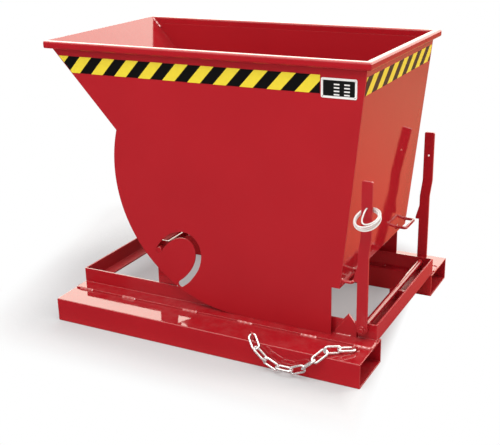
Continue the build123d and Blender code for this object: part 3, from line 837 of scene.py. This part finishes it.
def laySmallWelds(spec):
    wedgeLow, wedgeHigh = corners("locating_wedge")
    _, wedgeY, wedgeZ = wedgeLow
    wedgeStart = (wedgeLow[0] + spec["inset"], wedgeY, wedgeZ)
    wedgeEnd = (wedgeHigh[0] - spec["wedgeTail"], wedgeY, wedgeZ)
    beads = [fillet(wedgeStart, wedgeEnd, -rightward, up, spec["wedgeLeg"])]
    lugLow, lugHigh = corners("shaft_bearing")
    lugStart = lugLow[0] + spec["inset"]
    lugEnd = lugHigh[0] - spec["inset"]
    for y, facing in ((lugLow[1], -rightward), (lugHigh[1], rightward)):
        beads.append(fillet((lugStart, y, lugLow[2]), (lugEnd, y, lugLow[2]), facing, up, spec["lugLeg"]))
    for eye, heading in (("front", -1), ("rear", 1)):
        eyeLow, eyeHigh = corners(f"chain_eye_{eye}")
        x, y, _ = (eyeLow + eyeHigh) / 2
        spanX, spanY, _ = (eyeHigh - eyeLow) / 2 - spec["eyeBar"]
        for end in (-1, 1):
            eyeFoot = (x + end * heading * spanX, y + end * spanY, eyeLow[2])
            beads.append(ringBead(eyeFoot, rearward, rightward, up, spec["eyeBar"], spec["eyeLeg"]))
    makeWelds("small_welds", beads, "frame")


for side, sign in (("left", -1), ("right", 1)):
    layBaseWelds(side, sign, baseWelds)
    layHopperWelds(side, sign, hopperWelds)
laySmallWelds(smallWelds)
print("welds laid")


# Rivets: a quarter ellipse turned round each rivet's axis
rivets = {"radius": 0.003, "around": 20, "rows": 6}


def makeRivets(spec):
    low, high = corners("type_plate_rivets")
    radius = spec["radius"]
    turn = np.linspace(0, 2 * np.pi, spec["around"], endpoint=False)
    rise = np.linspace(0, np.pi / 2, spec["rows"], endpoint=False)[:, None]
    domes = []
    for x in (low[0] + radius, high[0] - radius):
        for z in (low[2] + radius, high[2] - radius):
            ringX = x + radius * np.cos(rise) * np.cos(turn)
            ringZ = z + radius * np.cos(rise) * np.sin(turn)
            ringY = np.broadcast_to(high[1] - (high[1] - low[1]) * np.sin(rise), ringX.shape)
            domes.append((np.stack((ringX, ringY, ringZ), axis=-1), cappedFaces(*ringX.shape)))
    piece = makePiece("type_plate_rivets_domed", domes, zincs["rivetMetal"], "hopper")
    turnOutwards(piece.data)
    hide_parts("type_plate_rivets")
    return len(domes)


print("rivets set:", makeRivets(rivets))


# Floor: pale paper; the camera sees a white glow with a painted soft shadow near the part, plain white
# further out
floorPaper = {
    "half": 14.0,
    "colour": (0.84, 0.84, 0.84, 1.0),
    "rough": 0.9,
    "shadowMiddle": (-0.16, 0.04),          # of the shadow's box
    "shadowSlant": 0.3,                     # shift of the box towards -X along Y
    "shadowBox": (0.70, 0.60, 0.0),         # half its size
    "shadowFade": (0.0, 0.30),              # from its sides to plain white
    "rearSlant": 0.15,
    "rearClear": (0.54, 0.66),              # where the paper turns white at the rear
    "skyReach": 1.1,                        # how far off the part still hides the sky
    "skySamples": 12,
    "outerShade": (0.80, 1.0, 0.56, 1.0),   # read from the open sky
    "innerShade": (0.15, 0.80, 0.75, 1.0),
    "leastWhite": 0.55,                     # share of the white in the shadow
}
# Painted reflection for the paint's gloss: red under the part and, along Y, warmer to the right and dark to
# the left
floorMirror = {
    "under": (0.51, 0.13, 0.12, 1.0),
    "changes": (
        ((0.0, 0.5), (0.85, 0.21, 0.12, 1.0)),
        ((1.0, 3.5), (0.70, 0.37, 0.21, 1.0)),
        ((-0.52, -0.62), (0.06, 0.05, 0.05, 1.0)),
    ),
}


def floorReflection(tree, y, spec):
    colour = spec["under"]
    for ends, tint in spec["changes"]:
        colour = mixColour(tree, mapRange(tree, y, *ends), colour, tint)
    return colour


# Glowing white with a painted shadow from the open sky's occlusion; the shade fades out past a slanted box
# and at the rear
def floorWhite(tree, x, y, spec):
    middleX, middleY = spec["shadowMiddle"]
    slant = mathNode(tree, "MULTIPLY", y, spec["shadowSlant"])
    slantedX = mathNode(tree, "ADD", mathNode(tree, "SUBTRACT", x, middleX), slant)
    shiftedY = mathNode(tree, "SUBTRACT", y, middleY)
    centred = addNode(tree, "ShaderNodeCombineXYZ", {"X": slantedX, "Y": shiftedY}).outputs[0]
    past = vectorNode(tree, "SUBTRACT", vectorNode(tree, "ABSOLUTE", centred), spec["shadowBox"])
    far = vectorNode(tree, "LENGTH", vectorNode(tree, "MAXIMUM", past), result="Value")
    fade = mapRange(tree, far, *spec["shadowFade"], ease="SMOOTHSTEP")
    rear = mathNode(tree, "ADD", x, mathNode(tree, "MULTIPLY", y, spec["rearSlant"]))
    bare = mathNode(tree, "MAXIMUM", mapRange(tree, rear, *spec["rearClear"]), fade)
    reach = {"Distance": spec["skyReach"]}
    sky = addNode(tree, "ShaderNodeAmbientOcclusion", reach, samples=spec["skySamples"]).outputs["AO"]
    outer, inner = [mapRange(tree, sky, *spec[kind]) for kind in ("outerShade", "innerShade")]
    soft = mathNode(tree, "MULTIPLY", outer, inner)
    lost = mathNode(tree, "MULTIPLY", mathNode(tree, "SUBTRACT", 1.0, soft), bare)
    shade = mathNode(tree, "ADD", soft, lost)
    # The camera sees this glow, with its painted shadow, in place of the lit paper
    white = addNode(tree, "ShaderNodeEmission", {"Color": (1, 1, 1, 1), "Strength": shade}).outputs[0]
    return white, mathNode(tree, "MAXIMUM", bare, spec["leastWhite"])


def makeFloor(spec):
    half = spec["half"]
    points = [(-half, -half, 0), (half, -half, 0), (half, half, 0), (-half, half, 0)]
    mesh = bpy.data.meshes.new("floor")
    mesh.from_pydata(points, [], [(0, 1, 2, 3)])
    floor = bpy.data.objects.new("floor", mesh)
    bpy.context.scene.collection.objects.link(floor)
    material, tree, shader = makeMaterial("floorPaper")
    path = addNode(tree, "ShaderNodeLightPath").outputs
    place = splitNode(tree, objectPlace(tree))
    reflection = floorReflection(tree, place["Y"], floorMirror)
    setSockets(tree, shader, {
        # Glossy rays see the painted reflection colours in place of the paper
        "Base Color": mixColour(tree, path["Is Glossy Ray"], spec["colour"], reflection),
        "Roughness": spec["rough"],
        "Specular IOR Level": 0.0,
    })
    white, share = floorWhite(tree, place["X"], place["Y"], spec)
    seen = mathNode(tree, "MULTIPLY", share, path["Is Camera Ray"])
    surface = mixShader(tree, seen, shader.outputs[0], white)
    setSockets(tree, tree.nodes["Material Output"], {"Surface": surface})
    mesh.materials.append(material)


makeFloor(floorPaper)


# Light: even white all round, a warm key at the rear, a soft fill from the left and a wide lamp above
lamps = {
    "key": {
        "from": (3.2, 1.8, 3.0),
        "at": (0.5, 0.0, 0.4),
        "size": 1.6,
        "power": 62.0,
        "tint": (1.0, 0.92, 0.84),
    },
    "fill": {
        "from": (-1.6, -4.6, 3.2),
        "at": (0.0, 0.0, 0.5),
        "size": 3.5,
        "power": 28.0,
        "tint": (1.0, 1.0, 1.0),
    },
    "over": {
        "from": (0.6, -2.2, 4.6),
        "at": (0.1, 0.1, 0.6),
        "size": 2.4,
        "power": 118.0,
        "tint": (1.0, 1.0, 1.0),
    },
}
# The strength all round, and the bright walls that only the paint's gloss sees
studio = {
    "around": 0.75,
    "wallTint": (1.0, 0.94, 0.82, 1.0),
    "behind": (0.1, 0.6, 0.1, 3.7),         # strength read from the direction's Y
    "above": (0.5, 0.85, 0.0, 3.0),         # and from its Z
}


def makeLamp(name, spec):
    data = bpy.data.lights.new(name, "AREA")
    data.size = spec["size"]
    data.energy = spec["power"]
    data.color = spec["tint"]
    data.specular_factor = 0.0
    lamp = bpy.data.objects.new(name, data)
    bpy.context.scene.collection.objects.link(lamp)
    ahead = Vector(spec["at"]) - Vector(spec["from"])
    lamp.location = spec["from"]
    lamp.rotation_mode = "QUATERNION"
    lamp.rotation_quaternion = ahead.to_track_quat("-Z", "Y")


def backgroundNode(tree, colour, strength):
    return addNode(tree, "ShaderNodeBackground", {"Color": colour, "Strength": strength}).outputs[0]


def makeWorld(spec):
    world = bpy.data.worlds.new("studio")
    bpy.context.scene.world = world
    world.use_nodes = True
    tree = world.node_tree
    tree.nodes.clear()
    path = addNode(tree, "ShaderNodeLightPath").outputs
    heading = splitNode(tree, addNode(tree, "ShaderNodeTexCoord").outputs["Generated"])
    behind = mapRange(tree, heading["Y"], *spec["behind"])
    above = mapRange(tree, heading["Z"], *spec["above"])
    walls = backgroundNode(tree, spec["wallTint"], mathNode(tree, "MAXIMUM", behind, above))
    around = backgroundNode(tree, (1, 1, 1, 1), spec["around"])
    white = backgroundNode(tree, (1, 1, 1, 1), 1.0)
    lit = mixShader(tree, path["Is Glossy Ray"], around, walls)
    surface = mixShader(tree, path["Is Camera Ray"], lit, white)
    addNode(tree, "ShaderNodeOutputWorld", {"Surface": surface})


for name, spec in lamps.items():
    makeLamp(name, spec)
makeWorld(studio)
bpy.context.scene.view_settings.view_transform = "Standard"
print("floor and light set")
